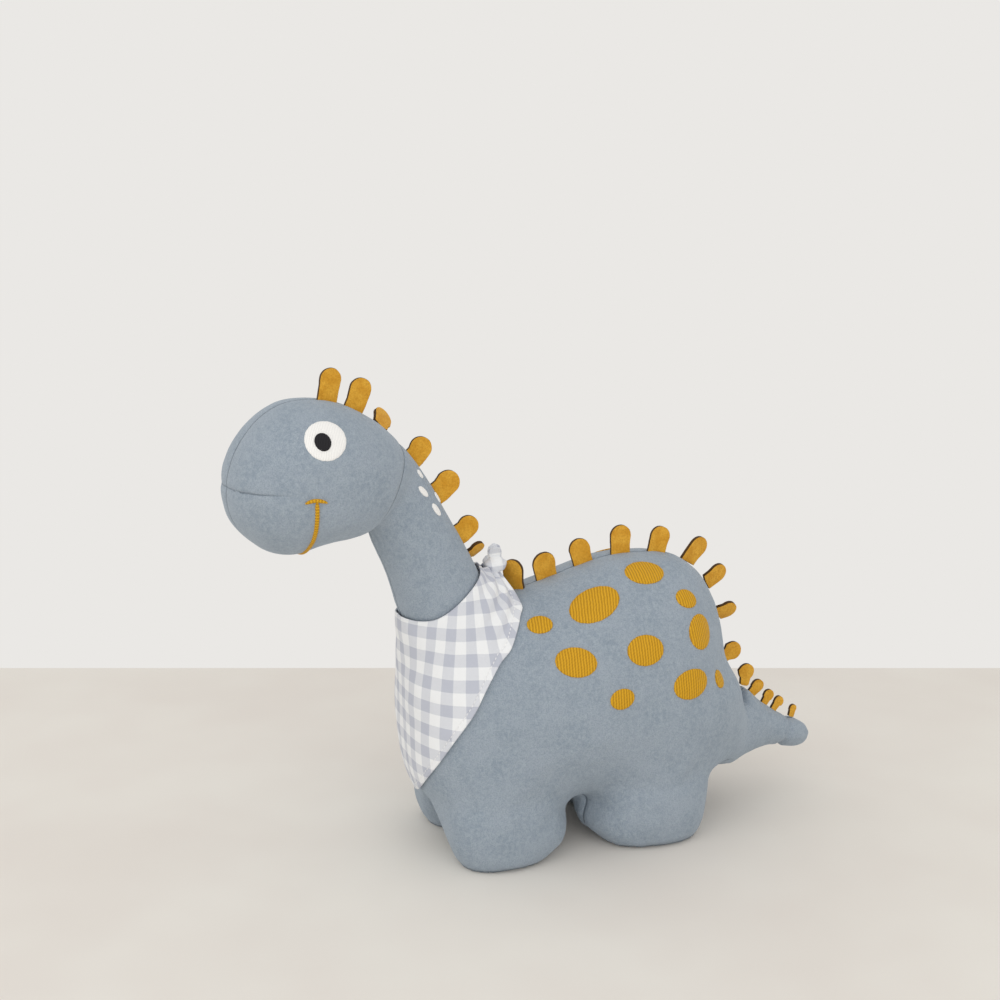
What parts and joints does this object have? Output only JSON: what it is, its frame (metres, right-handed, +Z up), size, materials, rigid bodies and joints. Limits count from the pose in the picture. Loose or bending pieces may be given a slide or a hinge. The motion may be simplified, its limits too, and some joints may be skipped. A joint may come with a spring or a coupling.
{
  "type": "stuffed dinosaur",
  "caption": "Soft long-necked stuffed dinosaur on four feet, with a row of felt back plates, embroidered spots and eyes, and a checked neckerchief.",
  "frame": {"origin": "on the floor under the middle of the toy's length and width", "axes": "+Z up; the nose points along -Y and the tail along +Y; the toy's left side is +X"},
  "size_m": [0.11, 0.3551, 0.273],
  "materials": {
    "velour": "short-napped blue-grey velour",
    "filling": "polyester fibre filling",
    "felt": "matt mustard felt",
    "embroidery": "satin embroidery thread",
    "white_thread": "satin embroidery thread",
    "black_thread": "satin embroidery thread",
    "gingham": "woven gingham cotton, white and pale grey-lilac"
  },
  "bodies": {
    "torso": {"torso_panel_left": "velour", "torso_panel_right": "velour", "belly_gusset": "velour", "sole_front_left": "velour", "sole_front_right": "velour", "sole_rear_left": "velour", "sole_rear_right": "velour", "torso_filling": "filling", "spots_left": "embroidery", "spots_right": "embroidery", "closing_stitches": "white_thread", "bandana_collar": "gingham", "bandana_front": "gingham", "bandana_knot": "gingham", "bandana_ends": "gingham"},
    "bandana_point": {"bandana_tip": "gingham"},
    "neck_lower": {"neck_lower_left": "velour", "neck_lower_right": "velour", "neck_lower_filling": "filling"},
    "neck_upper": {"neck_upper_left": "velour", "neck_upper_right": "velour", "neck_upper_filling": "filling", "neck_spots": "white_thread"},
    "head_root": {"head_root_filling": "filling"},
    "head": {"head_panel_left": "velour", "head_panel_right": "velour", "head_filling": "filling", "eye_white_left": "white_thread", "eye_white_right": "white_thread", "pupil_left": "black_thread", "pupil_right": "black_thread", "mouth_stitch": "embroidery"},
    "tail_root": {"tail_root_filling": "filling"},
    "tail": {"tail_left": "velour", "tail_right": "velour", "tail_filling": "filling"},
    "tail_tip": {"tail_tip_left": "velour", "tail_tip_right": "velour", "tail_tip_filling": "filling", "back_plate_21": "felt"},
    "plate_01": {"back_plate_01": "felt"},
    "plate_02": {"back_plate_02": "felt"},
    "plate_03": {"back_plate_03": "felt"},
    "plate_04": {"back_plate_04": "felt"},
    "plate_05": {"back_plate_05": "felt"},
    "plate_06": {"back_plate_06": "felt"},
    "plate_07": {"back_plate_07": "felt"},
    "plate_08": {"back_plate_08": "felt"},
    "plate_09": {"back_plate_09": "felt"},
    "plate_10": {"back_plate_10": "felt"},
    "plate_11": {"back_plate_11": "felt"},
    "plate_12": {"back_plate_12": "felt"},
    "plate_13": {"back_plate_13": "felt"},
    "plate_14": {"back_plate_14": "felt"},
    "plate_15": {"back_plate_15": "felt"},
    "plate_16": {"back_plate_16": "felt"},
    "plate_17": {"back_plate_17": "felt"},
    "plate_18": {"back_plate_18": "felt"},
    "plate_19": {"back_plate_19": "felt"},
    "plate_20": {"back_plate_20": "felt"}
  },
  "joints": [
    {"name": "neck_bow", "type": "hinge", "parent": "torso", "child": "neck_lower", "pos_m": [0, -0.057, 0.138], "axis": [1, 0, 0], "range_deg": [-4, 12], "stiffness_Nm_per_rad": 1.6},
    {"name": "neck_sway", "type": "hinge", "parent": "neck_lower", "child": "neck_upper", "pos_m": [0, -0.0715, 0.172], "axis": [0, 0.8291, 0.5591], "range_deg": [-14, 14], "stiffness_Nm_per_rad": 0.9},
    {"name": "head_nod", "type": "hinge", "parent": "neck_upper", "child": "head_root", "pos_m": [0, -0.0955, 0.21], "axis": [1, 0, 0], "range_deg": [-18, 12], "stiffness_Nm_per_rad": 0.7},
    {"name": "head_turn", "type": "hinge", "parent": "head_root", "child": "head", "pos_m": [0, -0.0955, 0.21], "axis": [0, 0, 1], "range_deg": [-22, 16], "stiffness_Nm_per_rad": 0.4},
    {"name": "tail_lift", "type": "hinge", "parent": "torso", "child": "tail_root", "pos_m": [0, 0.113, 0.052], "axis": [1, 0, 0], "range_deg": [-7, 10], "stiffness_Nm_per_rad": 0.1},
    {"name": "tail_wag", "type": "hinge", "parent": "tail_root", "child": "tail", "pos_m": [0, 0.113, 0.052], "axis": [0, 0, 1], "range_deg": [-22, 22], "stiffness_Nm_per_rad": 0.06},
    {"name": "tail_tip_bend", "type": "hinge", "parent": "tail", "child": "tail_tip", "pos_m": [0, 0.158, 0.0395], "axis": [1, 0, 0], "range_deg": [-20, 20], "stiffness_Nm_per_rad": 0.006},
    {"name": "bandana_point_lift", "type": "hinge", "parent": "torso", "child": "bandana_point", "pos_m": [0, -0.0844, 0.0775], "axis": [-1, 0, 0], "range_deg": [0, 50]},
    {"name": "plate_01_flop", "type": "hinge", "parent": "head", "child": "plate_01", "pos_m": [0.00355, -0.12079, 0.25873], "axis": [-0.1363, 0.9698, -0.2022], "range_deg": [-25, 25], "stiffness_Nm_per_rad": 0.000164},
    {"name": "plate_02_flop", "type": "hinge", "parent": "head", "child": "plate_02", "pos_m": [0.00146, -0.10587, 0.25235], "axis": [-0.1205, 0.8574, -0.5004], "range_deg": [-25, 25], "stiffness_Nm_per_rad": 0.000189},
    {"name": "plate_03_flop", "type": "hinge", "parent": "head", "child": "plate_03", "pos_m": [-0.00063, -0.09099, 0.24261], "axis": [-0.1034, 0.7354, -0.6696], "range_deg": [-25, 25], "stiffness_Nm_per_rad": 0.0000538},
    {"name": "plate_04_flop", "type": "hinge", "parent": "neck_upper", "child": "plate_04", "pos_m": [0, -0.07351, 0.22252], "axis": [0, 0.6168, -0.7871], "range_deg": [-25, 25], "stiffness_Nm_per_rad": 0.000101},
    {"name": "plate_05_flop", "type": "hinge", "parent": "neck_upper", "child": "plate_05", "pos_m": [0, -0.06042, 0.20226], "axis": [0, 0.4443, -0.8959], "range_deg": [-25, 25], "stiffness_Nm_per_rad": 0.000172},
    {"name": "plate_06_flop", "type": "hinge", "parent": "neck_lower", "child": "plate_06", "pos_m": [0, -0.04767, 0.17842], "axis": [0, 0.4891, -0.8722], "range_deg": [-25, 25], "stiffness_Nm_per_rad": 0.0000852},
    {"name": "plate_07_flop", "type": "hinge", "parent": "neck_lower", "child": "plate_07", "pos_m": [0, -0.04143, 0.16706], "axis": [-0.6428, 0.3577, -0.6774], "range_deg": [-8, 25], "stiffness_Nm_per_rad": 0.0000218},
    {"name": "plate_08_flop", "type": "hinge", "parent": "torso", "child": "plate_08", "pos_m": [0, -0.01678, 0.14613], "axis": [0.766, 0.6356, 0.096], "range_deg": [-25, 0], "stiffness_Nm_per_rad": 0.000217},
    {"name": "plate_09_flop", "type": "hinge", "parent": "torso", "child": "plate_09", "pos_m": [0, 0.00241, 0.15021], "axis": [0, 0.9499, 0.3125], "range_deg": [-25, 25], "stiffness_Nm_per_rad": 0.000191},
    {"name": "plate_10_flop", "type": "hinge", "parent": "torso", "child": "plate_10", "pos_m": [0, 0.02401, 0.15821], "axis": [0, 0.9661, 0.258], "range_deg": [-25, 25], "stiffness_Nm_per_rad": 0.000101},
    {"name": "plate_11_flop", "type": "hinge", "parent": "torso", "child": "plate_11", "pos_m": [0, 0.0474, 0.16179], "axis": [0, 0.9987, 0.0519], "range_deg": [-25, 25], "stiffness_Nm_per_rad": 0.00016},
    {"name": "plate_12_flop", "type": "hinge", "parent": "torso", "child": "plate_12", "pos_m": [0, 0.07062, 0.16081], "axis": [0, 0.9873, -0.1592], "range_deg": [-25, 25], "stiffness_Nm_per_rad": 0.000109},
    {"name": "plate_13_flop", "type": "hinge", "parent": "torso", "child": "plate_13", "pos_m": [0, 0.09202, 0.15332], "axis": [-0.2588, 0.8298, -0.4944], "range_deg": [-25, 25], "stiffness_Nm_per_rad": 0.000143},
    {"name": "plate_14_flop", "type": "hinge", "parent": "torso", "child": "plate_14", "pos_m": [0, 0.10615, 0.13872], "axis": [-0.2588, 0.4863, -0.8346], "range_deg": [-25, 25], "stiffness_Nm_per_rad": 0.0000716},
    {"name": "plate_15_flop", "type": "hinge", "parent": "torso", "child": "plate_15", "pos_m": [0, 0.11357, 0.11732], "axis": [-0.4226, 0.1899, -0.8862], "range_deg": [-25, 25], "stiffness_Nm_per_rad": 0.0000538},
    {"name": "plate_16_flop", "type": "hinge", "parent": "torso", "child": "plate_16", "pos_m": [0, 0.11858, 0.09241], "axis": [0, 0.1787, -0.9839], "range_deg": [-25, 25], "stiffness_Nm_per_rad": 0.0000376},
    {"name": "plate_17_flop", "type": "hinge", "parent": "tail", "child": "plate_17", "pos_m": [0, 0.12987, 0.07642], "axis": [0, 0.6853, -0.7283], "range_deg": [-25, 25], "stiffness_Nm_per_rad": 0.0000241},
    {"name": "plate_18_flop", "type": "hinge", "parent": "tail", "child": "plate_18", "pos_m": [0, 0.13824, 0.06696], "axis": [0, 0.6829, -0.7305], "range_deg": [-25, 25], "stiffness_Nm_per_rad": 0.00000985},
    {"name": "plate_19_flop", "type": "hinge", "parent": "tail", "child": "plate_19", "pos_m": [0, 0.14679, 0.0601], "axis": [0, 0.8269, -0.5623], "range_deg": [-25, 25], "stiffness_Nm_per_rad": 0.00000522},
    {"name": "plate_20_flop", "type": "hinge", "parent": "tail", "child": "plate_20", "pos_m": [0, 0.15383, 0.05562], "axis": [0, 0.8578, -0.5139], "range_deg": [-25, 25], "stiffness_Nm_per_rad": 0.00000364}
  ]
}
